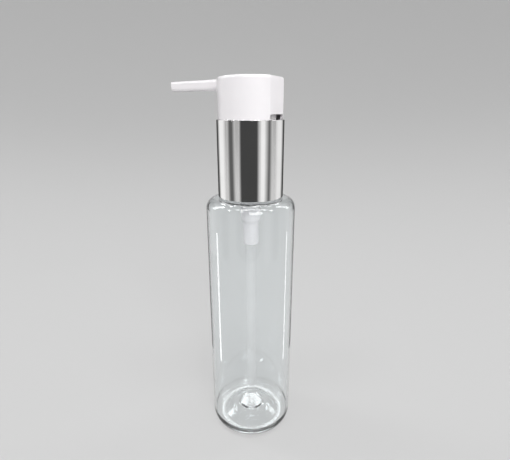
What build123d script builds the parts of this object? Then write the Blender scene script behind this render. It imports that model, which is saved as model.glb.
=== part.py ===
from build123d import *
import os
from math import cos, hypot, pi, sin, sqrt

os.makedirs("parts", exist_ok=True)

# Soap pump dispenser, in millimetres. +Z is up, the origin is on the bottle's axis where it
# stands, and the spout points along -X.

# Fits, each a gap on one side
running_gap = 0.05
push_gap = 0.02
head_gap = 0.18
thread_gap = 0.2
touch_gap = 0.05
turning_gap = 0.15

# Bottle
bottle_d = 38.0
bottle_wall = 0.8
shoulder_z = 113.0
shoulder_round = 4.5
heel_round = 4.5
base_thick = 2.2
base_rise = 4.0
base_disc_d = 10.6
base_step = 0.6
foot_width = 1.4
neck_bore_d = 18.4
neck_wall = 1.6
neck_h = 17.0
thread_h = 1.15
bead_out = 1.8
bead_h = 1.6
bead_lift = 1.6
lip_round = 0.4

# Metal sleeve round the neck
sleeve_wall = 0.42
sleeve_h = 31.2
sleeve_lift = 0.5
sleeve_round = 0.18

# Gasket and housing flange on the bottle's lip
gasket_h = 1.0
flange_h = 1.4

# Screw closure inside the sleeve, with the tower that the head slides over
closure_lift = 0.6
closure_wall = 0.86
closure_rib_h = 0.35
closure_rib_w = 0.9
closure_rib_count = 24
closure_round = 0.4
deck_h = 1.4
tower_gap = 0.65
tower_wall = 1.0
tower_show = 2.4

# Pump housing
cup_d = 14.0
cup_wall = 1.4
cup_depth = 6.6
barrel_d = 8.5
barrel_wall = 0.7
tail_d = 6.9
tail_z = 92.0
taper_z = 101.5
taper_h = 1.8
tube_grip = 7.0
inlet_d = 2.4
inlet_h = 1.2
vent_d = 1.0

# Inlet valve
ball_d = 3.8
ball_room_gap = 0.45
ball_lift = 1.0
seat_drop = 1.3
cage_h = 1.6
cage_hole_d = 2.0
cage_ring_h = 0.8
cage_ring_wall = 0.6
cage_slot_w = 0.8
cage_slot_h = 0.7
cage_slot_count = 3

# Stem, piston and the plug under them
stem_d = 4.5
stem_bore_d = 2.6
stem_stop_d = 6.4
stem_stop_h = 1.2
stem_slot_w = 0.9
stem_slot_h = 3.0
stem_grip = 7.0
piston_h = 4.0
piston_float = 1.0
piston_core_d = 5.5
piston_waist_d = 6.2
piston_lip = 0.3
seat_plate_d = 6.0
seat_plate_h = 1.3
seat_cone_h = 0.4
spigot_h = 4.0
spigot_flat = 0.35
spigot_flat_count = 3
pin_d = 2.6
pin_h = 5.4

# Return spring
wire_d = 0.6
spring_d = 5.4
spring_turns = 7.5
arcs_a_turn = 4
points_a_turn = 24

# Chaplet in the housing's top
chaplet_gap = 0.4
chaplet_flange_h = 1.2
chaplet_well_d = 9.6
chaplet_well_h = 5.0
chaplet_tube_d = 7.0
chaplet_tube_h = 3.3

# Suction tube
tube_d = 5.0
tube_wall = 0.7
tube_clear = 1.2
tube_cut_angle = 35.0

# Press head
stroke = 5.0
head_flat_cut = 1.3
head_corner = 2.0
head_top_round = 1.2
head_wall = 1.1
head_back_wall = 0.85
head_roof = 1.5
head_slope = 0.2
skirt_overlap = 2.6
notch_h = 2.0
notch_w = 11.6
notch_round = 0.8
socket_d = 7.8
socket_clear = 1.5
spout_lift = 6.0
spout_reach = 38.8
spout_drop = 0.2
spout_root_h = 4.5
spout_tip_h = 4.0
spout_edge = 1.35
spout_root_round = 0.6
spout_tip_round = 0.3
spout_cut_angle = 7.0
channel_d = 2.2
orifice_d = 2.0
rib_w = 0.9
rib_h = 3.0

# Heights that follow from the sizes above
neck_top = shoulder_z + neck_h
sleeve_z = shoulder_z + sleeve_lift
sleeve_top = sleeve_z + sleeve_h
bead_z = shoulder_z + bead_lift
closure_z = bead_z + bead_h + closure_lift
flange_z = neck_top + gasket_h
flange_top = flange_z + flange_h
deck_z = flange_top + touch_gap
deck_top = deck_z + deck_h
tower_top = sleeve_top + tower_show
cup_top = deck_top + turning_gap
cup_floor = cup_top - cup_depth
chaplet_top = cup_top + chaplet_flange_h
guide_top = chaplet_top + chaplet_tube_h
socket_top_z = tail_z + tube_grip
inlet_top = socket_top_z + inlet_h
stem_stop_top = cup_floor - turning_gap
stem_stop_z = stem_stop_top - stem_stop_h
piston_top = stem_stop_z - piston_float
piston_z = piston_top - piston_h
plate_top = piston_z - touch_gap
plate_z = plate_top - seat_plate_h
socket_z = guide_top + stroke + socket_clear
stem_top = socket_z + stem_grip
spout_z = stem_top + spout_lift
head_front_z = spout_z + spout_root_h / 2 + spout_drop
head_back_z = head_front_z + head_slope
skirt_z = sleeve_top - skirt_overlap

# Radii that follow from the sizes above
bottle_r = bottle_d / 2
bottle_ri = bottle_r - bottle_wall
neck_bore_r = neck_bore_d / 2
neck_r = neck_bore_r + neck_wall
bead_r = neck_r + bead_out
closure_bore_r = neck_r + thread_h + thread_gap
closure_r = closure_bore_r + closure_wall
closure_rib_r = closure_r + closure_rib_h
sleeve_ri = closure_rib_r + push_gap
sleeve_r = sleeve_ri + sleeve_wall
head_r = sleeve_ri - head_gap
head_flat = head_r - head_flat_cut
tower_r = head_flat - head_back_wall - tower_gap
chaplet_r = tower_r - tower_wall - chaplet_gap
cup_r = cup_d / 2
cup_ri = cup_r - cup_wall
barrel_r = barrel_d / 2
barrel_ri = barrel_r - barrel_wall
tail_r = tail_d / 2
tube_r = tube_d / 2
ball_r = ball_d / 2
ball_room_r = ball_r + ball_room_gap
stem_r = stem_d / 2
stem_ri = stem_bore_d / 2
spigot_r = stem_ri - running_gap


def half_section(corners):
    # One closed outline beside the axis: each corner is radius, height and rounding
    with BuildSketch(Plane.XZ) as section:
        with BuildLine():
            FilletPolyline(
                [(radius, height) for radius, height, _ in corners],
                radius=[rounding for _, _, rounding in corners],
                close=True,
            )
        make_face()
    return section.sketch


# Bottle: one blown shell, thick in its pushed-up base, with a plain neck and a bead
disc_r = base_disc_d / 2
foot_r = bottle_r - heel_round - foot_width
base_corners = [
    (disc_r, base_rise, base_step / 2),
    (disc_r + base_step, base_rise - base_step, base_step / 2),
    ((disc_r + foot_r) / 2, base_rise - 2 * base_step, heel_round),
]
with BuildPart() as bottle:
    revolve(
        half_section(
            [
                (0, base_rise, 0),
                *base_corners,
                (foot_r, 0, base_step),
                (bottle_r, 0, heel_round),
                (bottle_r, shoulder_z, shoulder_round),
                (neck_r, shoulder_z, lip_round),
                (neck_r, bead_z, 0),
                (bead_r, bead_z, lip_round),
                (bead_r, bead_z + bead_h, lip_round),
                (neck_r, bead_z + bead_h, 0),
                (neck_r, neck_top, lip_round),
                (neck_bore_r, neck_top, lip_round),
                (neck_bore_r, shoulder_z - bottle_wall, lip_round),
                (bottle_ri, shoulder_z - bottle_wall, shoulder_round - bottle_wall),
                (bottle_ri, base_thick, heel_round - bottle_wall),
                (foot_r, base_thick, base_step),
                *[(r, z + base_thick, f) for r, z, f in reversed(base_corners)],
                (0, base_rise + base_thick, 0),
            ]
        ),
        axis=Axis.Z,
    )
bottle.part.label = "bottle"
export_step(bottle.part, "parts/bottle.step")

# Metal sleeve: a drawn tube with rounded rims
with BuildPart() as collar_sleeve:
    revolve(
        half_section(
            [
                (sleeve_ri, sleeve_z, sleeve_round),
                (sleeve_r, sleeve_z, sleeve_round),
                (sleeve_r, sleeve_top, sleeve_round),
                (sleeve_ri, sleeve_top, sleeve_round),
            ]
        ),
        axis=Axis.Z,
    )
collar_sleeve.part.label = "collar_sleeve"
export_step(collar_sleeve.part, "parts/collar_sleeve.step")

# Screw closure: threaded cap, its deck and tower, and the ribs that grip the sleeve
with BuildPart() as screw_closure:
    revolve(
        half_section(
            [
                (closure_bore_r, closure_z, 0),
                (closure_r, closure_z, closure_round),
                (closure_r, deck_top, closure_round),
                (tower_r, deck_top, closure_round),
                (tower_r, tower_top, closure_round),
                (tower_r - tower_wall, tower_top, closure_round),
                (tower_r - tower_wall, deck_top, closure_round),
                (cup_r + turning_gap, deck_top, 0),
                (cup_r + turning_gap, deck_z, 0),
                (closure_bore_r, deck_z, closure_round),
            ]
        ),
        axis=Axis.Z,
    )
    rib_z0 = closure_z + closure_round
    rib_z1 = deck_top - closure_round
    rib_deep = closure_rib_h + closure_round
    with Locations((0, 0, (rib_z0 + rib_z1) / 2)):
        with PolarLocations(closure_rib_r - rib_deep / 2, closure_rib_count):
            Box(rib_deep, closure_rib_w, rib_z1 - rib_z0)
screw_closure.part.label = "screw_closure"
export_step(screw_closure.part, "parts/screw_closure.step")

# Gasket: flat ring on the bottle's lip
with BuildPart() as neck_gasket:
    with BuildSketch(Plane.XY.offset(neck_top)):
        Circle(neck_r)
        Circle(cup_r + turning_gap, mode=Mode.SUBTRACT)
    extrude(amount=gasket_h)
neck_gasket.part.label = "neck_gasket"
export_step(neck_gasket.part, "parts/neck_gasket.step")

# Pump housing: cup and flange on top, barrel for the piston, ball room and tube socket
cage_seat_r = ball_room_r - inlet_d / 2
seat_length = hypot(cage_seat_r, seat_drop)
ball_z = inlet_top + (ball_r * seat_length - seat_drop * inlet_d / 2) / cage_seat_r
cage_z = ball_z + ball_r + ball_lift + touch_gap
with BuildPart() as pump_housing:
    revolve(
        half_section(
            [
                (cup_ri, cup_top, 0),
                (cup_r, cup_top, 0),
                (cup_r, flange_top, 0),
                (neck_r, flange_top, 0),
                (neck_r, flange_z, 0),
                (cup_r, flange_z, 0),
                (cup_r, cup_floor - cup_wall, cup_wall),
                (barrel_r, cup_floor - 2 * cup_wall, cup_wall / 2),
                (barrel_r, taper_z + taper_h, barrel_wall),
                (tail_r, taper_z, barrel_wall),
                (tail_r, tail_z, barrel_wall / 3),
                (tube_r + push_gap, tail_z, barrel_wall / 3),
                (tube_r + push_gap, socket_top_z, 0),
                (inlet_d / 2, socket_top_z, 0),
                (inlet_d / 2, inlet_top, 0),
                (ball_room_r, inlet_top + seat_drop, 0),
                (ball_room_r, cage_z, 0),
                (barrel_ri, cage_z, 0),
                (barrel_ri, cup_floor, 0),
                (cup_ri, cup_floor, 0),
            ]
        ),
        axis=Axis.Z,
    )
    with Locations((barrel_r, 0, (piston_top + stem_stop_z) / 2)):
        Cylinder(vent_d / 2, barrel_d / 2, rotation=(0, 90, 0), mode=Mode.SUBTRACT)
pump_housing.part.label = "pump_housing"
export_step(pump_housing.part, "parts/pump_housing.step")

# Chaplet: plug in the cup, flange over the closure's deck, and a guide tube for the stem
guide_r = stem_r + running_gap
with BuildPart() as chaplet:
    revolve(
        half_section(
            [
                (guide_r, cup_floor, 0),
                (cup_ri - push_gap, cup_floor, push_gap),
                (cup_ri - push_gap, cup_top, 0),
                (chaplet_r, cup_top, 0),
                (chaplet_r, chaplet_top, closure_round),
                (chaplet_well_d / 2, chaplet_top, closure_round),
                (chaplet_well_d / 2, chaplet_top - chaplet_well_h, 0),
                (chaplet_tube_d / 2, chaplet_top - chaplet_well_h, 0),
                (chaplet_tube_d / 2, guide_top, closure_round),
                (guide_r, guide_top, closure_round),
            ]
        ),
        axis=Axis.Z,
    )
chaplet.part.label = "chaplet"
export_step(chaplet.part, "parts/chaplet.step")

# Stem: hollow rod with a stop flange, slotted below so that soap can enter
stem_z = plate_top + touch_gap
with BuildPart() as stem:
    revolve(
        half_section(
            [
                (stem_ri, stem_z, 0),
                (stem_r, stem_z, 0),
                (stem_r, stem_stop_z, 0),
                (stem_stop_d / 2, stem_stop_z, 0),
                (stem_stop_d / 2, stem_stop_top, 0),
                (stem_r, stem_stop_top, 0),
                (stem_r, stem_top, 0),
                (stem_ri, stem_top, 0),
            ]
        ),
        axis=Axis.Z,
    )
    with Locations((0, 0, stem_z + stem_slot_h / 2)):
        Box(stem_slot_w, stem_d, stem_slot_h, mode=Mode.SUBTRACT)
        Box(stem_d, stem_slot_w, stem_slot_h, mode=Mode.SUBTRACT)
stem.part.label = "stem"
export_step(stem.part, "parts/stem.step")

# Piston: sleeve on the stem with a lip at each end that wipes the barrel
piston_r = barrel_ri - push_gap
core_r = piston_core_d / 2
lip_h = piston_h / 4
with BuildPart() as piston:
    revolve(
        half_section(
            [
                (stem_r + running_gap, piston_z, 0),
                (core_r, piston_z, 0),
                (core_r, piston_z + lip_h, 0),
                (piston_r - piston_lip, piston_z, 0),
                (piston_r, piston_z, 0),
                (piston_waist_d / 2, piston_z + lip_h + piston_lip, piston_lip),
                (piston_waist_d / 2, piston_top - lip_h - piston_lip, piston_lip),
                (piston_r, piston_top, 0),
                (piston_r - piston_lip, piston_top, 0),
                (core_r, piston_top - lip_h, 0),
                (core_r, piston_top, 0),
                (stem_r + running_gap, piston_top, 0),
            ]
        ),
        axis=Axis.Z,
    )
piston.part.label = "piston"
export_step(piston.part, "parts/piston.step")

# Piston seat: plug in the stem's foot with flats for the soap, a plate and a spring pin
plate_r = seat_plate_d / 2
spigot_top = plate_top + spigot_h
with BuildPart() as piston_seat:
    revolve(
        half_section(
            [
                (0, plate_z - pin_h, 0),
                (pin_d / 2, plate_z - pin_h, closure_round),
                (pin_d / 2, plate_z, 0),
                (plate_r, plate_z, 0),
                (plate_r, plate_top - seat_cone_h, 0),
                (plate_r - seat_cone_h, plate_top, 0),
                (spigot_r, plate_top, 0),
                (spigot_r, spigot_top, 0),
                (0, spigot_top, 0),
            ]
        ),
        axis=Axis.Z,
    )
    with Locations((0, 0, plate_top + spigot_h / 2)):
        with PolarLocations(spigot_r, spigot_flat_count):
            Box(2 * spigot_flat, stem_d, spigot_h, mode=Mode.SUBTRACT)
piston_seat.part.label = "piston_seat"
export_step(piston_seat.part, "parts/piston_seat.step")

# Ball cage: drilled plate at the barrel's foot, with a ring inside the spring
cage_top = cage_z + cage_h
with BuildPart() as ball_cage:
    revolve(
        half_section(
            [
                (cage_hole_d / 2, cage_z, 0),
                (barrel_ri - push_gap, cage_z, 0),
                (barrel_ri - push_gap, cage_top, 0),
                (cage_hole_d / 2 + cage_ring_wall, cage_top, 0),
                (cage_hole_d / 2 + cage_ring_wall, cage_top + cage_ring_h, 0),
                (cage_hole_d / 2, cage_top + cage_ring_h, 0),
            ]
        ),
        axis=Axis.Z,
    )
    with Locations((0, 0, cage_z + cage_slot_h / 2)):
        with PolarLocations(ball_room_r / 2, cage_slot_count):
            Box(ball_room_r, cage_slot_w, cage_slot_h, mode=Mode.SUBTRACT)
ball_cage.part.label = "ball_cage"
export_step(ball_cage.part, "parts/ball_cage.step")

# Check ball: rests on the cone above the inlet
with BuildPart() as check_ball:
    with Locations((0, 0, ball_z + touch_gap)):
        Sphere(ball_r)
check_ball.part.label = "check_ball"
export_step(check_ball.part, "parts/check_ball.step")

# Return spring: one helical wire between the cage and the plate, on pairs of tangent arcs
coil_r = (spring_d - wire_d) / 2
coil_z0 = cage_top + wire_d / 2 + touch_gap
coil_z1 = plate_z - wire_d / 2 - touch_gap
coil_rise = (coil_z1 - coil_z0) / spring_turns


def coil_point(turn):
    angle = 2 * pi * turn
    return Vector(coil_r * cos(angle), coil_r * sin(angle), coil_z0 + coil_rise * turn)


def coil_heading(turn):
    angle = 2 * pi * turn
    across = 2 * pi * coil_r
    return Vector(-across * sin(angle), across * cos(angle), coil_rise).normalized()


def arc_pair_middle(start, end, start_heading, end_heading):
    # Where two arcs of equal reach meet with one tangent
    span = end - start
    both = start_heading + end_heading
    turn_share = 2 * (1 - start_heading.dot(end_heading))
    along = span.dot(both)
    reach = (sqrt(along**2 + turn_share * span.dot(span)) - along) / turn_share
    return (start + end + (start_heading - end_heading) * reach) * 0.5


arc_count = round(spring_turns * arcs_a_turn)
with BuildPart() as return_spring:
    with BuildLine() as wire_path:
        for step in range(arc_count):
            here = step / arcs_a_turn
            there = (step + 1) / arcs_a_turn
            middle = arc_pair_middle(
                coil_point(here), coil_point(there), coil_heading(here), coil_heading(there)
            )
            first = TangentArc(coil_point(here), middle, tangent=coil_heading(here))
            TangentArc(middle, coil_point(there), tangent=first % 1)
    with BuildSketch(Plane(coil_point(0), z_dir=coil_heading(0))):
        Circle(wire_d / 2)
    sweep(path=wire_path.line)
return_spring.part.label = "return_spring"
export_step(return_spring.part, "parts/return_spring.step")
point_count = round(spring_turns * points_a_turn)
wire_points = [wire_path.wires()[0] @ (step / point_count) for step in range(point_count + 1)]
least_span = min(
    (wire_points[other] - wire_points[one]).length
    for one in range(point_count)
    for other in range(one + points_a_turn // 2, point_count + 1)
)
print("spring, least gap to itself", round(least_span - wire_d, 3))
print("spring pressed, gap between turns", round(least_span - stroke / spring_turns - wire_d, 3))

# Suction tube: straight, cut aslant just above the bottle's floor
tube_foot = base_rise + base_thick + tube_clear
with BuildPart() as dip_tube:
    with BuildSketch(Plane.XY.offset(tube_foot)):
        Circle(tube_r)
        Circle(tube_r - tube_wall, mode=Mode.SUBTRACT)
    extrude(amount=socket_top_z - touch_gap - tube_foot)
    slant = Plane((-tube_r, 0, tube_foot)).rotated((0, -tube_cut_angle, 0))
    split(bisect_by=slant, keep=Keep.TOP)
dip_tube.part.label = "dip_tube"
export_step(dip_tube.part, "parts/dip_tube.step")


def head_plan(radius, flat, corner, height):
    # Round in front, flat behind, with rounded upright edges
    with BuildSketch(Plane.XY.offset(height)) as plan:
        Circle(radius)
        with Locations((flat + radius, 0)):
            Rectangle(2 * radius, 2 * radius, mode=Mode.SUBTRACT)
        fillet(plan.vertices(), corner)
    return plan.sketch


# Press head: thin D-shaped cap and skirt, with the stem socket, channel and spout in one
roof_z = head_front_z - head_roof
head_length = head_r + head_flat
roof_slope = Plane((-head_r, 0, head_front_z), z_dir=(-head_slope, 0, head_length))
spout_axis = Axis((0, 0, spout_z), (-1, 0, 0))
spout_bed = head_r - head_corner
spout_taper = spout_tip_h / spout_root_h
notch_top = sleeve_top + notch_h
with BuildPart() as actuator_head:
    # Solid cap: the plan drawn up past the sloping top, trimmed and rounded over
    extrude(head_plan(head_r, head_flat, head_corner, skirt_z), amount=head_back_z - skirt_z)
    split(bisect_by=roof_slope, keep=Keep.BOTTOM)
    fillet(actuator_head.faces().sort_by(Axis.Z)[-1].edges(), head_top_round)

    # Spout: square with well-rounded edges, a slow taper that leaves the cap just below its top
    with BuildSketch(Plane.YZ.offset(-spout_bed)):
        with Locations((0, spout_z)):
            RectangleRounded(spout_root_h, spout_root_h, spout_edge)
    with BuildSketch(Plane.YZ.offset(-spout_reach)):
        with Locations((0, spout_z)):
            RectangleRounded(spout_tip_h, spout_tip_h, spout_edge * spout_taper)
    loft(ruled=True)
    spout_end = Plane((-spout_reach, 0, spout_z + spout_tip_h / 2), z_dir=(-1, 0, 0))
    split(bisect_by=spout_end.rotated((0, -spout_cut_angle, 0)), keep=Keep.BOTTOM)
    fillet(actuator_head.faces().sort_by(Axis.X)[0].edges(), spout_tip_round)
    root_edges = actuator_head.edges().filter_by(
        lambda edge: -head_r - push_gap < edge.center().X < -spout_bed - spout_root_round
        and abs(edge.center().Y) < spout_root_h / 2 + push_gap
        and abs(edge.center().Z - spout_z) < spout_root_h / 2 + push_gap
    )
    fillet(root_edges, spout_root_round)

    # Hollow under the roof, open below
    inner_flat = head_flat - head_back_wall
    cavity = head_plan(head_r - head_wall, inner_flat, head_corner - head_back_wall, skirt_z)
    extrude(cavity, amount=roof_z - skirt_z, mode=Mode.SUBTRACT)

    # Stem socket, spout channel and stiffening ribs, all grown down from the roof
    with BuildSketch(Plane.XY.offset(socket_z)):
        Circle(socket_d / 2)
    extrude(amount=roof_z + head_roof / 2 - socket_z)
    with BuildSketch(Plane.YZ.offset(head_wall / 2 - head_r)):
        with Locations((0, spout_z)):
            Circle(channel_d / 2 + head_wall)
    extrude(amount=head_r - head_wall / 2)
    with BuildSketch(Plane.XY.offset(roof_z - rib_h)):
        Rectangle(rib_w, 2 * head_r - head_wall)
        with Locations(((head_flat - head_back_wall / 2) / 2, 0)):
            Rectangle(head_flat - head_back_wall / 2, rib_w)
    extrude(amount=rib_h + head_roof / 2)

    # Bores for the stem and for the soap
    with BuildSketch(Plane.XY.offset(socket_z)):
        Circle(stem_r + push_gap)
    extrude(amount=stem_top + touch_gap - socket_z, mode=Mode.SUBTRACT)
    with BuildSketch(Plane.XY.offset(stem_top)):
        Circle(stem_ri)
    extrude(amount=spout_z - stem_top, mode=Mode.SUBTRACT)
    with BuildSketch(Plane.XZ):
        with BuildLine():
            Polyline(
                (0, spout_z),
                (0, spout_z + channel_d / 2),
                (-spout_reach, spout_z + orifice_d / 2),
                (-spout_reach, spout_z),
                close=True,
            )
        make_face()
    revolve(axis=spout_axis, mode=Mode.SUBTRACT)

    # Notch in the back of the skirt
    with BuildSketch(Plane.YZ.offset(head_flat - head_corner)):
        with Locations((0, skirt_z)):
            RectangleRounded(notch_w, 2 * (notch_top - skirt_z), notch_round)
    extrude(amount=2 * head_corner, mode=Mode.SUBTRACT)
actuator_head.part.label = "actuator_head"
export_step(actuator_head.part, "parts/actuator_head.step")
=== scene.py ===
from math import atan2, cos, hypot, pi, radians, sin, tan

import bmesh
import bpy
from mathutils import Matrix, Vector


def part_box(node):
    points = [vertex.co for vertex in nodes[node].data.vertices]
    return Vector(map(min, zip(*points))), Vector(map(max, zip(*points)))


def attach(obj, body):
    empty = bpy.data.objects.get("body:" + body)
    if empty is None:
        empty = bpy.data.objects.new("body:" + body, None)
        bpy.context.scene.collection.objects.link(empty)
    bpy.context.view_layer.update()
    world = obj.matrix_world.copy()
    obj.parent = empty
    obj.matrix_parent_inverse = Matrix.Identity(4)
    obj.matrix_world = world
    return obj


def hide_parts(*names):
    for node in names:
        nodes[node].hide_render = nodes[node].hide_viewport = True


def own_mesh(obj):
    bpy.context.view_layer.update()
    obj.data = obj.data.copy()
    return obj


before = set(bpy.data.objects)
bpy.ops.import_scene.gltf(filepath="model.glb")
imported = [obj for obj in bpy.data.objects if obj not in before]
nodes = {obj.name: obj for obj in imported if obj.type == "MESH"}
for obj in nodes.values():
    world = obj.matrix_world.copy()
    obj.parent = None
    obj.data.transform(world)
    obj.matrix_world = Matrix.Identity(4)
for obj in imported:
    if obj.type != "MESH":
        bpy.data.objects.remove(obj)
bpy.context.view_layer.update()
mm = 0.001
near = 1e-7  # metres within which two places are one
print("frame loaded:", len(nodes), "nodes")


shot = {
    "azimuth": 29.43, "distance": 156.1, "height": 148.0, "down": 17.82, "turn": -0.68,
    "focal": 26.17, "sensor": 36, "nearest": 10,
}
bpy.ops.object.select_all(action="DESELECT")
camAngle = radians(shot["azimuth"])
bpy.ops.object.camera_add(
    location=(
        shot["distance"] * sin(camAngle) * mm,
        -shot["distance"] * cos(camAngle) * mm,
        shot["height"] * mm,
    ),
    rotation=(radians(90 - shot["down"]), 0, radians(shot["azimuth"] + shot["turn"])),
)
camera = bpy.context.object
camera.data.sensor_width = shot["sensor"]
camera.data.lens = shot["focal"]
camera.data.clip_start = shot["nearest"] * mm
bpy.context.scene.camera = camera
bpy.context.scene.view_settings.view_transform = "Standard"
print("camera set")


class Value:
    def __init__(self, finish, socket):
        self.finish = finish
        self.socket = socket

    def maths(self, operation, other):
        return self.finish.node("ShaderNodeMath", {"operation": operation}, {0: self, 1: other})

    def least(self, other):
        return self.maths("MINIMUM", other)

    def __add__(self, other):
        return self.maths("ADD", other)

    __radd__ = __add__

    def __mul__(self, other):
        return self.maths("MULTIPLY", other)

    __rmul__ = __mul__


class Finish:
    def __init__(self, name, **constants):
        self.material = bpy.data.materials.new(name)
        self.material.use_nodes = True
        self.tree = self.material.node_tree
        self.shader = self.tree.nodes["Principled BSDF"]
        for socket, value in constants.items():
            self.shader.inputs[socket.replace("_", " ")].default_value = value

    def node(self, kind, settings=None, sockets=None, output=0):
        made = self.tree.nodes.new(kind)
        for key, value in (settings or {}).items():
            if key == "stops":
                self.setStops(made.color_ramp, value)
            else:
                setattr(made, key, value)
        for key, value in (sockets or {}).items():
            self.feed(made.inputs[key], value)
        return Value(self, made.outputs[output])

    def setStops(self, ramp, stops):
        while len(ramp.elements) < len(stops):
            ramp.elements.new(1)
        for element, (position, colour) in zip(ramp.elements, stops):
            element.position = position
            element.color = (*colour, 1)

    def feed(self, socket, value):
        if isinstance(value, Value):
            self.tree.links.new(value.socket, socket)
        else:
            socket.default_value = value

    def set(self, **links):
        for socket, value in links.items():
            self.feed(self.shader.inputs[socket.replace("_", " ")], value)

    def place(self, scale=(1, 1, 1)):
        where = self.node("ShaderNodeTexCoord", output="Object")
        return self.node("ShaderNodeMapping", None, {"Vector": where, "Scale": scale})

    def noise(self, scale, detail=2, stretch=(1, 1, 1)):
        spot = self.place(stretch)
        return self.node("ShaderNodeTexNoise", None, {"Vector": spot, "Scale": scale, "Detail": detail})

    def bump(self, height, strength, depth):
        return self.node("ShaderNodeBump", None, {"Height": height, "Strength": strength, "Distance": depth})

    def tint(self, mask, low, high):
        return self.node("ShaderNodeValToRGB", {"stops": [(0.3, low), (0.7, high)]}, {"Fac": mask})


def colour(*parts):
    return (*parts, 1)


def grey(level):
    return colour(level, level, level)


# in every look: noise scales, bump strength, and bump depth in millimetres
clearPetLook = {
    "tint": (0.955, 0.975, 0.98), "rough": 0.015, "index": 1.57,
    "wave": 70, "along": 0.35, "bump": 0.06, "deep": 0.4,
}


def makeClearPet(s):
    f = Finish(
        "clearPet", Base_Color=colour(*s["tint"]), Roughness=s["rough"], IOR=s["index"], Transmission_Weight=1
    )
    wave = f.noise(s["wave"], 2, (1, 1, s["along"]))  # slow waves of a blown wall
    f.set(Normal=f.bump(wave, s["bump"], s["deep"] * mm))
    return f.material


clearTubeLook = {
    "low": (0.88, 0.9, 0.91), "high": (0.92, 0.94, 0.95), "alpha": 0.07, "rough": 0.1, "roughVary": 0.1,
    "streak": 260, "along": 0.1, "bump": 0.03, "deep": 0.2,
}


def makeClearTube(s):
    f = Finish("clearTube", Alpha=s["alpha"])
    streak = f.noise(s["streak"], 2, (1, 1, s["along"]))  # drawn lines of an extruded tube
    f.set(
        Base_Color=f.tint(streak, s["low"], s["high"]),
        Roughness=s["rough"] + s["roughVary"] * streak,
        Normal=f.bump(streak, s["bump"], s["deep"] * mm),
    )
    return f.material


brightMetalLook = {
    "low": (0.87, 0.865, 0.86), "high": (0.91, 0.905, 0.9), "rough": 0.045, "roughVary": 0.05,
    "line": 900, "along": 0.02, "cloud": 120, "bump": 0.02, "deep": 0.05,
}


def makeBrightMetal(s):
    f = Finish("brightMetal", Metallic=1)
    line = f.noise(s["line"], 3, (1, 1, s["along"]))  # fine lines along the draw
    cloud = f.noise(s["cloud"], 2)
    f.set(
        Base_Color=f.tint(cloud, s["low"], s["high"]),
        Roughness=s["rough"] + s["roughVary"] * line,
        Normal=f.bump(line, s["bump"], s["deep"] * mm),
    )
    return f.material


whitePlasticLook = {
    "low": (0.87, 0.845, 0.865), "high": (0.885, 0.862, 0.88), "rough": 0.3, "roughVary": 0.05,
    "coat": 0.1, "coatRough": 0.12, "cloud": 140, "peel": 420, "bump": 0.02, "deep": 0.03,
}


def makeWhitePlastic(s):
    f = Finish("whitePlastic", Coat_Weight=s["coat"], Coat_Roughness=s["coatRough"])
    cloud = f.noise(s["cloud"], 3)
    peel = f.noise(s["peel"], 2)  # faint ripple of a moulded gloss
    f.set(
        Base_Color=f.tint(cloud, s["low"], s["high"]),
        Roughness=s["rough"] + s["roughVary"] * peel,
        Normal=f.bump(peel, s["bump"], s["deep"] * mm),
    )
    return f.material


milkyLook = {
    "low": (0.78, 0.78, 0.8), "high": (0.82, 0.82, 0.84), "rough": 0.34, "roughVary": 0.12,
    "cloud": 220, "grain": 1600, "bump": 0.05, "deep": 0.05,
}
sealLook = {**milkyLook, "low": (0.8, 0.81, 0.82), "high": (0.85, 0.86, 0.87), "rough": 0.5}


def makeMilkyPlastic(name, s):
    f = Finish(name)
    cloud = f.noise(s["cloud"], 3)
    grain = f.noise(s["grain"], 2)
    f.set(
        Base_Color=f.tint(cloud, s["low"], s["high"]),
        Roughness=s["rough"] + s["roughVary"] * grain,
        Normal=f.bump(grain, s["bump"], s["deep"] * mm),
    )
    return f.material


springLook = {
    "low": (0.55, 0.55, 0.56), "high": (0.68, 0.68, 0.69), "rough": 0.2, "roughVary": 0.15, "grain": 1500,
}
ballLook = {**springLook, "low": (0.66, 0.66, 0.67), "high": (0.74, 0.74, 0.75), "rough": 0.08}


def makeSteel(name, s):
    f = Finish(name, Metallic=1)
    grain = f.noise(s["grain"], 3)
    f.set(Base_Color=f.tint(grain, s["low"], s["high"]), Roughness=s["rough"] + s["roughVary"] * grain)
    return f.material


clearPet = makeClearPet(clearPetLook)
clearTube = makeClearTube(clearTubeLook)
brightMetal = makeBrightMetal(brightMetalLook)
whitePlastic = makeWhitePlastic(whitePlasticLook)
milkyPlastic = makeMilkyPlastic("milkyPlastic", milkyLook)
softSeal = makeMilkyPlastic("softSeal", sealLook)
springSteel = makeSteel("springSteel", springLook)
ballSteel = makeSteel("ballSteel", ballLook)
print("finishes made")

nodeFinish = {
    "bottle": clearPet,
    "collar_sleeve": brightMetal,
    "screw_closure": whitePlastic,
    "neck_gasket": softSeal,
    "pump_housing": milkyPlastic,
    "chaplet": milkyPlastic,
    "stem": milkyPlastic,
    "piston": softSeal,
    "piston_seat": milkyPlastic,
    "return_spring": springSteel,
    "ball_cage": milkyPlastic,
    "check_ball": ballSteel,
    "dip_tube": clearTube,
    "actuator_head": whitePlastic,
}
for nodeName, finish in nodeFinish.items():
    nodes[nodeName].data.materials.clear()
    nodes[nodeName].data.materials.append(finish)
print("CAD pieces dressed")


def startMesh(name):
    if bpy.context.mode != "OBJECT":
        bpy.ops.object.mode_set(mode="OBJECT")
    bpy.ops.object.select_all(action="DESELECT")
    bpy.ops.mesh.primitive_plane_add(size=mm, location=(0, 0, 0))
    piece = bpy.context.object
    piece.name = name
    piece.data.name = name
    bpy.ops.object.mode_set(mode="EDIT")
    return piece


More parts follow.
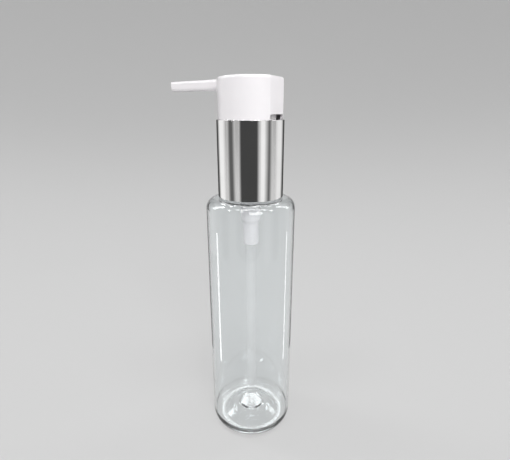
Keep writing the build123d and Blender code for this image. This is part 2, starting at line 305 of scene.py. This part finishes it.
def pick(piece, test, kind="verts"):
    bpy.ops.mesh.select_all(action="DESELECT")
    mesh = bmesh.from_edit_mesh(piece.data)
    count = 0
    for item in getattr(mesh, kind):
        if test(item):
            item.select_set(True)
            count += 1
    mesh.select_flush_mode()
    bmesh.update_edit_mesh(piece.data)
    return count


def pickPoint(piece, x, z):
    return pick(piece, lambda v: hypot(v.co.x - x, v.co.z - z) < near)


def traceOutline(name, corners, closed):
    # one point pushed from corner to corner, then each corner rounded: radius, height, rounding, steps
    piece = startMesh(name)
    bpy.ops.mesh.merge(type="CENTER")
    bpy.ops.transform.translate(value=(corners[0][0] * mm, 0, corners[0][1] * mm))
    for before, after in zip(corners, corners[1:]):
        push = ((after[0] - before[0]) * mm, 0, (after[1] - before[1]) * mm)
        bpy.ops.mesh.extrude_vertices_move(TRANSFORM_OT_translate={"value": push})
    if closed:
        ends = [corners[0], corners[-1]]
        pick(piece, lambda v: any(hypot(v.co.x - e[0] * mm, v.co.z - e[1] * mm) < near for e in ends))
        bpy.ops.mesh.edge_face_add()
    count = len(corners)
    for index, (radius, height, rounding, steps) in enumerate(corners):
        if rounding > 0:
            before = corners[index - 1]
            after = corners[(index + 1) % count]
            angleIn = atan2(before[1] - height, before[0] - radius)
            angleOut = atan2(after[1] - height, after[0] - radius)
            opening = abs((angleOut - angleIn + pi) % (2 * pi) - pi)
            if pickPoint(piece, radius * mm, height * mm) != 1:
                print("corner not found", name, radius, height)
            bpy.ops.mesh.bevel(
                offset=rounding / tan(opening / 2) * mm,
                offset_type="OFFSET",
                affect="VERTICES",
                segments=steps,
                profile=0.5,
            )
    return piece


def spinOutline(piece, steps):
    bpy.ops.mesh.select_all(action="SELECT")
    bpy.ops.mesh.spin(steps=steps, angle=2 * pi, center=(0, 0, 0), axis=(0, 0, 1))
    bpy.ops.mesh.select_all(action="SELECT")
    bpy.ops.mesh.remove_doubles(threshold=near)
    bpy.ops.mesh.normals_make_consistent(inside=False)
    bpy.ops.object.mode_set(mode="OBJECT")


def finishPiece(piece, material, angle=35):
    if bpy.context.mode != "OBJECT":
        bpy.ops.object.mode_set(mode="OBJECT")
    bpy.ops.object.select_all(action="DESELECT")
    piece.select_set(True)
    bpy.context.view_layer.objects.active = piece
    bpy.ops.object.shade_smooth_by_angle(angle=radians(angle))
    piece.data.materials.clear()
    piece.data.materials.append(material)
    print(piece.name, len(piece.data.polygons), "faces")
    return piece


bottleSizes = {
    "radius": 19.0, "wall": 0.8, "shoulder": 113.0, "round": 4.5, "heel": 4.5, "base": 2.2, "rise": 4.0,
    "gate": 1.3, "gateDeep": 0.5, "disc": 5.3, "step": 0.6, "foot": 13.1, "neck": 10.8, "bore": 9.2,
    "neckTop": 130.0, "bead": 12.6, "beadLow": 114.6, "beadHigh": 116.2, "lip": 0.4,
    "around": 192, "fineSteps": 4, "archSteps": 6, "heelSteps": 16, "roundSteps": 18, "threadRows": 60,
}
threadSizes = {
    "pitch": 3.175, "start": 123.0, "turns": 1.5, "crest": 11.95, "foot": 2.1, "top": 1.0, "runOut": 0.12,
    "onWall": 0.002, "overBead": 0.01,
}


def makeBottle(s):
    fine = s["fineSteps"]
    middle = (s["disc"] + s["foot"]) / 2
    floor = [
        (s["disc"], s["rise"], s["step"] / 2, fine),
        (s["disc"] + s["step"], s["rise"] - s["step"], s["step"] / 2, fine),
        (middle, s["rise"] - 2 * s["step"], s["heel"], s["archSteps"]),
    ]
    inside = s["radius"] - s["wall"]
    under = s["shoulder"] - s["wall"]
    corners = [
        (0, s["rise"] - s["gateDeep"], 0, 0),
        (s["gate"], s["rise"] - s["gateDeep"], s["gateDeep"] / 2, fine),
        (s["gate"], s["rise"], s["gateDeep"] / 3, fine),
        *floor,
        (s["foot"], 0, s["step"], fine),
        (s["radius"], 0, s["heel"], s["heelSteps"]),
        (s["radius"], s["shoulder"], s["round"], s["roundSteps"]),
        (s["neck"], s["shoulder"], s["lip"], fine),
        (s["neck"], s["beadLow"], 0, 0),
        (s["bead"], s["beadLow"], s["lip"], fine),
        (s["bead"], s["beadHigh"], s["lip"], fine),
        (s["neck"], s["beadHigh"], 0, 0),
        (s["neck"], s["neckTop"], s["lip"], fine),
        (s["bore"], s["neckTop"], s["lip"], fine),
        (s["bore"], under, s["lip"], fine),
        (inside, under, s["round"] - s["wall"], s["roundSteps"]),
        (inside, s["base"], s["heel"] - s["wall"], s["heelSteps"]),
        (s["foot"], s["base"], s["step"], fine),
        *[(radius, z + s["base"], rounding, steps) for radius, z, rounding, steps in reversed(floor)],
        (0, s["rise"] + s["base"], 0, 0),
    ]
    piece = traceOutline("clearBottle", corners, False)
    neckLow = (s["beadHigh"] - s["lip"]) * mm

    def onNeck(edge):
        return all(abs(v.co.x - s["neck"] * mm) < near and v.co.z > neckLow for v in edge.verts)

    pick(piece, onNeck, "edges")
    bpy.ops.mesh.subdivide(number_cuts=s["threadRows"])  # rows for the thread
    spinOutline(piece, s["around"])
    return piece


def cutThread(piece, s, t):
    # the neck's outer rows swell into a helical ridge that runs out at both ends
    for v in piece.data.vertices:
        radius = hypot(v.co.x, v.co.y)
        if abs(radius - s["neck"] * mm) > t["onWall"] * mm or v.co.z < (s["beadHigh"] + t["overBead"]) * mm:
            continue
        angle = atan2(v.co.y, v.co.x) % (2 * pi)
        swell = 0
        for lap in range(int(t["turns"]) + 2):
            turn = angle / (2 * pi) + lap
            share = turn / t["turns"]
            if share > 1:
                continue
            away = abs(v.co.z / mm - t["start"] - t["pitch"] * turn)
            flank = min(1, max(0, (t["foot"] / 2 - away) / (t["foot"] / 2 - t["top"] / 2)))
            fade = min(1, min(share, 1 - share) / t["runOut"])
            swell = max(swell, flank * fade)
        grown = radius + swell * (t["crest"] - s["neck"]) * mm
        v.co.x *= grown / radius
        v.co.y *= grown / radius


clearBottle = makeBottle(bottleSizes)
cutThread(clearBottle, bottleSizes, threadSizes)
finishPiece(clearBottle, clearPet)
clearBottle.visible_shadow = False  # clear walls let the light through, counted once
clearBottle.visible_diffuse = False
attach(clearBottle, "bottle")
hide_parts("bottle")


sleeveLow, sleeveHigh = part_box("collar_sleeve")
sleeveSizes = {
    "outer": sleeveHigh.x / mm, "wall": 0.42, "low": sleeveLow.z / mm, "high": sleeveHigh.z / mm,
    "rim": 0.19, "rimSteps": 6, "around": 256,
}


def makeSleeve(s):
    inner = s["outer"] - s["wall"]
    corners = [
        (inner, s["low"], s["rim"], s["rimSteps"]),
        (s["outer"], s["low"], s["rim"], s["rimSteps"]),
        (s["outer"], s["high"], s["rim"], s["rimSteps"]),
        (inner, s["high"], s["rim"], s["rimSteps"]),
    ]
    piece = traceOutline("drawnSleeve", corners, True)
    spinOutline(piece, s["around"])
    return piece


drawnSleeve = finishPiece(makeSleeve(sleeveSizes), brightMetal)
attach(drawnSleeve, "closure")
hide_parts("collar_sleeve")


springLow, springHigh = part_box("return_spring")
springSizes = {
    "wire": 0.6, "coil": 2.4, "turns": 7.5, "closed": 0.75, "easing": 0.5, "closedPitch": 0.62,
    "stroke": 5.0, "sides": 14, "stepsPerTurn": 36, "smooth": 50,
    "low": springLow.z / mm, "high": springHigh.z / mm,
}


def windHelix(piece, turns, rise, steps):
    # the outline in edit mode is wound right-handed round the upright axis
    bpy.ops.object.mode_set(mode="OBJECT")
    winding = piece.modifiers.new("winding", "SCREW")
    winding.axis = "Z"
    winding.angle = 2 * pi * turns
    winding.screw_offset = rise * mm
    winding.steps = steps
    winding.render_steps = steps
    bpy.ops.object.modifier_apply(modifier=winding.name)
    bpy.ops.object.mode_set(mode="EDIT")
    bpy.ops.mesh.select_all(action="SELECT")
    bpy.ops.mesh.fill_holes(sides=0)
    bpy.ops.mesh.select_all(action="SELECT")
    bpy.ops.mesh.normals_make_consistent(inside=False)
    bpy.ops.object.mode_set(mode="OBJECT")


def closeEnds(piece, s, rise):
    # the end turns lie on each other and the turns between them open out
    openTurns = s["turns"] - 2 * s["closed"] - s["easing"]
    extra = (rise - s["closedPitch"] * s["turns"]) / openTurns

    def opened(turn):
        past = turn - s["closed"]
        if past < s["easing"]:
            return max(0, past) ** 2 / (2 * s["easing"])
        return past - s["easing"] / 2

    pitch = rise / s["turns"]
    for v in piece.data.vertices:
        angle = atan2(v.co.y, v.co.x) / (2 * pi)
        turn = angle + round((v.co.z / mm - s["low"] - s["wire"] / 2) / pitch - angle)
        left = s["turns"] - turn
        share = opened(turn) if turn < left else openTurns - opened(left)
        v.co.z += (s["closedPitch"] * turn + extra * share - pitch * turn) * mm


def makeSpring(s):
    bpy.ops.object.select_all(action="DESELECT")
    bpy.ops.mesh.primitive_circle_add(
        vertices=s["sides"],
        radius=s["wire"] / 2 * mm,
        location=(s["coil"] * mm, 0, (s["low"] + s["wire"] / 2) * mm),
        rotation=(pi / 2, 0, 0),
    )
    piece = bpy.context.object
    piece.name = "coilSpring"
    piece.data.name = "coilSpring"
    bpy.ops.object.transform_apply(location=True, rotation=True, scale=True)
    bpy.ops.object.mode_set(mode="EDIT")
    rise = s["high"] - s["low"] - s["wire"]
    windHelix(piece, s["turns"], rise, round(s["turns"] * s["stepsPerTurn"]))
    closeEnds(piece, s, rise)
    return piece


coilSpring = finishPiece(makeSpring(springSizes), springSteel, springSizes["smooth"])
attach(coilSpring, "pump")
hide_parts("return_spring")
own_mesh(coilSpring)


ballLow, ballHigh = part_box("check_ball")
ballSizes = {"diameter": (ballHigh.z - ballLow.z) / mm, "cuts": 13}


def makeBall(s, centre):
    bpy.ops.object.select_all(action="DESELECT")
    bpy.ops.mesh.primitive_cube_add(size=1)
    piece = bpy.context.object
    piece.name = "groundBall"
    piece.data.name = "groundBall"
    bpy.ops.object.mode_set(mode="EDIT")
    bpy.ops.mesh.select_all(action="SELECT")
    bpy.ops.mesh.subdivide(number_cuts=s["cuts"])
    bpy.ops.transform.tosphere(value=1)
    bpy.ops.object.mode_set(mode="OBJECT")
    bpy.context.view_layer.update()
    piece.dimensions = (s["diameter"] * mm,) * 3
    piece.location = centre
    bpy.ops.object.transform_apply(location=True, rotation=True, scale=True)
    return piece


groundBall = finishPiece(makeBall(ballSizes, (ballLow + ballHigh) / 2), ballSteel)
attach(groundBall, "ball")
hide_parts("check_ball")


# the closure's own thread, half a pitch below the neck's
capThreadSizes = {
    "root": 12.17, "crest": 11.1, "rootHalf": 0.95, "crestHalf": 0.45, "crestRound": 0.15, "crestSteps": 3,
    "start": 121.41, "turns": 1.25, "stepsPerTurn": 64,
}


def makeCapThread(s, pitch):
    corners = [
        (s["root"], s["start"] - s["rootHalf"], 0, 0),
        (s["crest"], s["start"] - s["crestHalf"], s["crestRound"], s["crestSteps"]),
        (s["crest"], s["start"] + s["crestHalf"], s["crestRound"], s["crestSteps"]),
        (s["root"], s["start"] + s["rootHalf"], 0, 0),
    ]
    piece = traceOutline("capThread", corners, True)
    windHelix(piece, s["turns"], pitch * s["turns"], round(s["turns"] * s["stepsPerTurn"]))
    return piece


capThread = finishPiece(makeCapThread(capThreadSizes, threadSizes["pitch"]), whitePlastic)
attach(capThread, "closure")


studio = {
    "wall": 2600, "bend": 2300, "high": 2600, "floor": -0.4, "bendSteps": 24, "around": 96,
    "paper": 0.66, "rough": 0.9, "glow": 0.62, "even": 0.5, "aim": 90, "sky": 0.25,
}


def makeCove(s):
    corners = [
        (0, s["floor"], 0, 0),
        (s["wall"], s["floor"], s["bend"], s["bendSteps"]),
        (s["wall"], s["high"], 0, 0),
    ]
    piece = traceOutline("cove", corners, False)
    spinOutline(piece, s["around"])
    return piece


def makePaper(s):
    # half lit paper, half an even shade that only the eye, gloss and glass see
    f = Finish("palePaper", Base_Color=grey(s["paper"]), Roughness=s["rough"])
    kinds = ("Camera", "Glossy", "Transmission")
    eye, gloss, glass = [f.node("ShaderNodeLightPath", output="Is %s Ray" % kind) for kind in kinds]
    seen = (eye + gloss + glass).least(1)
    glow = f.node("ShaderNodeEmission", None, {"Color": grey(s["glow"]), "Strength": 1})
    lit = Value(f, f.shader.outputs[0])
    both = f.node("ShaderNodeMixShader", None, {0: s["even"] * seen, 1: lit, 2: glow})
    f.feed(f.tree.nodes["Material Output"].inputs["Surface"], both)
    return f.material


cove = finishPiece(makeCove(studio), makePaper(studio))


shadeSizes = {"radius": 18.6, "low": 0.1, "high": 60, "clear": 0.6, "around": 64}


def makeShade(s):
    # stands in for the pale shadow of the clear walls, seen by no ray but the lamps'
    corners = [(s["radius"], s["low"], 0, 0), (s["radius"], s["high"], 0, 0)]
    piece = traceOutline("bottleShade", corners, False)
    spinOutline(piece, s["around"])
    f = Finish("paleShade")
    clear = f.node("ShaderNodeBsdfTransparent", None, {"Color": grey(s["clear"])})
    f.feed(f.tree.nodes["Material Output"].inputs["Surface"], clear)
    finishPiece(piece, f.material)
    piece.visible_camera = False
    piece.visible_diffuse = False
    piece.visible_glossy = False
    piece.visible_transmission = False
    return piece


makeShade(shadeSizes)


def aroundObject(turn, distance, height):
    angle = camAngle + radians(turn)
    return Vector((distance * sin(angle), -distance * cos(angle), height)) * mm


def makeCardPaint(name, shade, edge, soft):
    # one even shade that fades to the paper's at the upright edges
    f = Finish(name, Base_Color=grey(0), Specular_IOR_Level=0, Emission_Strength=1)
    spot = f.node("ShaderNodeTexCoord", output="Object")
    across = f.node("ShaderNodeSeparateXYZ", None, {0: spot}, output="X")
    levels = [(0, edge), (soft, shade), (1 - soft, shade), (1, edge)]
    stops = [(place, (level,) * 3) for place, level in levels]
    f.set(Emission_Color=f.node("ShaderNodeValToRGB", {"stops": stops}, {"Fac": across + 0.5}))
    return f.material


def addPanel(name, turn, distance, height, width, tall, shade, soft, inGloss, inGlass):
    # stage gear that lights nothing: it shows in gloss, through clear walls or in both
    bpy.ops.object.select_all(action="DESELECT")
    bpy.ops.mesh.primitive_plane_add(size=1)
    panel = bpy.context.object
    panel.name = name
    panel.dimensions = (width * mm, tall * mm, 0)
    panel.rotation_euler = (pi / 2, 0, camAngle + radians(turn))
    panel.location = aroundObject(turn, distance, height)
    panel.data.materials.append(makeCardPaint(name, shade, studio["glow"], soft))
    panel.visible_camera = False
    panel.visible_diffuse = False
    panel.visible_shadow = False
    panel.visible_glossy = inGloss
    panel.visible_transmission = inGlass


def addLamp(name, turn, distance, height, width, tall, power, spread):
    bpy.ops.object.select_all(action="DESELECT")
    bpy.ops.object.light_add(type="AREA")
    lamp = bpy.context.object
    lamp.name = name
    spot = aroundObject(turn, distance, height)
    lamp.location = spot
    towards = Vector((0, 0, studio["aim"] * mm)) - spot
    lamp.rotation_euler = towards.to_track_quat("-Z", "Y").to_euler()
    lamp.data.shape = "RECTANGLE"
    lamp.data.size = width * mm
    lamp.data.size_y = tall * mm
    lamp.data.energy = power
    lamp.data.spread = radians(spread)
    lamp.visible_camera = False


# name, turn from the camera, distance, height, width, tall, shade, soft edge, in gloss, through glass
panels = [
    ("frontCard", -5, 250, 160, 340, 330, 0.06, 0.14, True, False),
    ("midBounce", 41, 240, 160, 85, 330, 0.95, 0.25, True, False),
    ("leftCard", -67, 250, 160, 140, 330, 0.12, 0.35, True, False),
    ("rightCard", 64, 250, 160, 110, 330, 0.14, 0.45, True, False),
    ("leftBounce", -112, 250, 160, 190, 330, 0.95, 0.3, True, False),
    ("rightBounce", 112, 250, 160, 190, 330, 0.85, 0.3, True, False),
    ("leftGleam", -84, 62, 44, 7, 84, 7, 0.3, True, False),
    ("rightGleam", 92, 62, 44, 5, 84, 5, 0.3, True, False),
    ("leftEdge", -138, 57, 105, 40, 200, 0.06, 0.3, True, False),
    ("rightEdge", 138, 57, 105, 40, 200, 0.06, 0.3, True, False),
    ("baseGlow", 180, 700, 642, 320, 280, 6.5, 0.3, True, True),
    ("leftFlag", -138, 420, 120, 240, 420, 0.03, 0.15, False, True),
    ("rightFlag", 138, 420, 120, 240, 420, 0.03, 0.15, False, True),
]
# name, turn, distance, height, width, tall, power, spread: a narrow spread keeps the side light off the cove
lamps = [
    ("keySoftbox", 14, 1400, 980, 920, 920, 4.3, 80),
    ("leftSoftbox", -112, 1350, 800, 350, 1200, 1.7, 80),
    ("rightSoftbox", 116, 1400, 800, 350, 1200, 1.15, 80),
    ("topSoftbox", 0, 400, 1700, 1700, 190, 8.7, 180),
]
glintSizes = {"distance": 700, "width": 110, "tall": 200, "shade": 14, "soft": 0.2}
glints = [  # turn, height: small far lights that sparkle in the shoulder and the base
    (-28, 900), (22, 900), (68, 800), (-72, 800), (112, 850), (-112, 850), (158, 700), (-158, 700),
    (136, 1300), (-136, 1300), (180, 1150),
]
for panel in panels:
    addPanel(*panel)
for index, (turn, height) in enumerate(glints):
    size = (glintSizes["width"], glintSizes["tall"])
    look = (glintSizes["shade"], glintSizes["soft"], True, True)
    addPanel("glint%d" % index, turn, glintSizes["distance"], height, *size, *look)
for lamp in lamps:
    addLamp(*lamp)

world = bpy.context.scene.world or bpy.data.worlds.new("studioSky")
bpy.context.scene.world = world
world.use_nodes = True
sky = world.node_tree.nodes["Background"]
sky.inputs["Color"].default_value = grey(1)
sky.inputs["Strength"].default_value = studio["sky"]
print("studio set")
